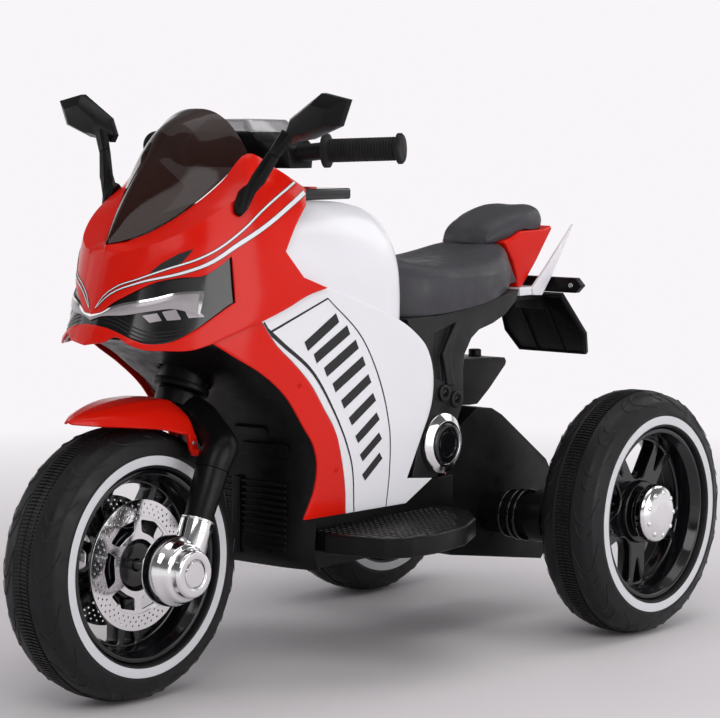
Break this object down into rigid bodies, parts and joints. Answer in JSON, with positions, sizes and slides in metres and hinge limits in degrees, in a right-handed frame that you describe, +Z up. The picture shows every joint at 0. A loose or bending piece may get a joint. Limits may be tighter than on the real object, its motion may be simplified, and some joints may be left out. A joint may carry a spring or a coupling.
{
  "type": "ride-on motorcycle",
  "caption": "Battery ride-on motorcycle for a child, with a steered front wheel, driven rear wheels, body panels, bubble windscreen, footboards, seat and mirrors.",
  "frame": {"origin": "on the ground, at the bottom centre of the bounding box, half way between the front and rear axles", "axes": "+Z up; +Y towards the rear, so the front faces -Y; +X towards the rider's left"},
  "size_m": [0.5738, 1.064, 0.7245],
  "materials": {
    "battery_grey": "grey plastic case",
    "black_plastic": "satin moulded black plastic",
    "chrome": "bright chrome-plated plastic",
    "grey_plastic": "satin moulded dark grey plastic",
    "grip_rubber": "ribbed black rubber",
    "red_gloss": "glossy painted red plastic",
    "seat_plastic": "fine-grained moulded dark grey plastic",
    "silver_paint": "silver painted plastic",
    "smoked_clear": "smoked clear plastic",
    "steel": "plain steel",
    "tyre_black": "black tyre with a white ring",
    "white_gloss": "glossy pearl white plastic",
    "wire_red": "red plastic sheath"
  },
  "bodies": {
    "chassis": {"main_frame": "black_plastic", "chassis_tray": "black_plastic", "battery": "battery_grey", "front_cowl": "black_plastic", "upper_cowl": "red_gloss", "headlight_bezel": "black_plastic", "light_bar": "chrome", "windscreen": "smoked_clear", "tank_cover": "white_gloss", "dash_panel": "black_plastic", "seat": "seat_plastic", "seat_hump": "seat_plastic", "seat_base": "grey_plastic", "tail_panel": "red_gloss", "tail_wing": "white_gloss", "signal_bar": "black_plastic", "plate_holder": "black_plastic", "rear_housing": "black_plastic", "rear_mudguard": "black_plastic", "rear_axle": "steel", "motor_lead": "wire_red", "side_fairing_left": "red_gloss", "side_fairing_right": "red_gloss", "side_panel_left": "white_gloss", "side_panel_right": "white_gloss", "pivot_ring_left": "chrome", "pivot_ring_right": "chrome", "gearbox_left": "black_plastic", "gearbox_right": "black_plastic", "footboard_left": "black_plastic", "footboard_right": "black_plastic", "mirror_stalk_left": "black_plastic", "mirror_stalk_right": "black_plastic"},
    "steering": {"fork_crown": "black_plastic", "front_axle": "steel", "front_fender": "red_gloss", "handlebar": "steel", "handlebar_cover": "silver_paint", "fork_leg_left": "black_plastic", "fork_leg_right": "black_plastic", "hub_cover_left": "chrome", "hub_cover_right": "chrome", "grip_left": "grip_rubber", "grip_right": "grip_rubber"},
    "front_wheel": {"tyre_front": "tyre_black", "rim_front": "black_plastic", "brake_disc_left": "chrome", "brake_disc_right": "chrome"},
    "rear_wheel_left": {"tyre_rear_left": "tyre_black", "rim_rear_left": "black_plastic", "hub_cap_left": "chrome"},
    "rear_wheel_right": {"tyre_rear_right": "tyre_black", "rim_rear_right": "black_plastic", "hub_cap_right": "chrome"},
    "mirror_left": {"mirror_head_left": "black_plastic"},
    "mirror_right": {"mirror_head_right": "black_plastic"},
    "pedal": {"foot_pedal": "grey_plastic"},
    "power_rocker": {"power_switch": "wire_red"},
    "direction_rocker": {"direction_switch": "grey_plastic"},
    "horn": {"horn_button": "wire_red"}
  },
  "joints": [
    {"name": "steering_turn", "type": "hinge", "parent": "chassis", "child": "steering", "pos_m": [0, -0.27689, 0.34402], "axis": [0, 0.3907, 0.9205], "range_deg": [-25, 25]},
    {"name": "front_wheel_spin", "type": "hinge", "parent": "steering", "child": "front_wheel", "pos_m": [0, -0.367, 0.165], "axis": [1, 0, 0], "continuous": true},
    {"name": "rear_wheel_left_spin", "type": "hinge", "parent": "chassis", "child": "rear_wheel_left", "pos_m": [0.236, 0.367, 0.165], "axis": [1, 0, 0], "continuous": true},
    {"name": "rear_wheel_right_spin", "type": "hinge", "parent": "chassis", "child": "rear_wheel_right", "pos_m": [-0.236, 0.367, 0.165], "axis": [1, 0, 0], "continuous": true},
    {"name": "mirror_left_swivel", "type": "hinge", "parent": "chassis", "child": "mirror_left", "pos_m": [0.1418, -0.2546, 0.6518], "axis": [0.5039, 0.2836, 0.8158], "range_deg": [-20, 20]},
    {"name": "mirror_right_swivel", "type": "hinge", "parent": "chassis", "child": "mirror_right", "pos_m": [-0.1418, -0.2546, 0.6518], "axis": [-0.5039, 0.2836, 0.8158], "range_deg": [-20, 20]},
    {"name": "pedal_press", "type": "hinge", "parent": "chassis", "child": "pedal", "pos_m": [-0.163, 0.03, 0.1995], "axis": [1, 0, 0], "range_deg": [0, 6], "stiffness_Nm_per_rad": 1.5, "springref_deg": -14.32},
    {"name": "power_rock", "type": "hinge", "parent": "chassis", "child": "power_rocker", "pos_m": [0.027, -0.065, 0.6059], "axis": [1, 0, 0], "range_deg": [-6, 6]},
    {"name": "direction_rock", "type": "hinge", "parent": "chassis", "child": "direction_rocker", "pos_m": [-0.027, -0.065, 0.6059], "axis": [1, 0, 0], "range_deg": [-6, 6]},
    {"name": "horn_press", "type": "slide", "parent": "chassis", "child": "horn", "axis": [0, 0, -1], "range_m": [0, 0.0028], "stiffness_N_per_m": 250, "springref_m": -0.0015}
  ]
}
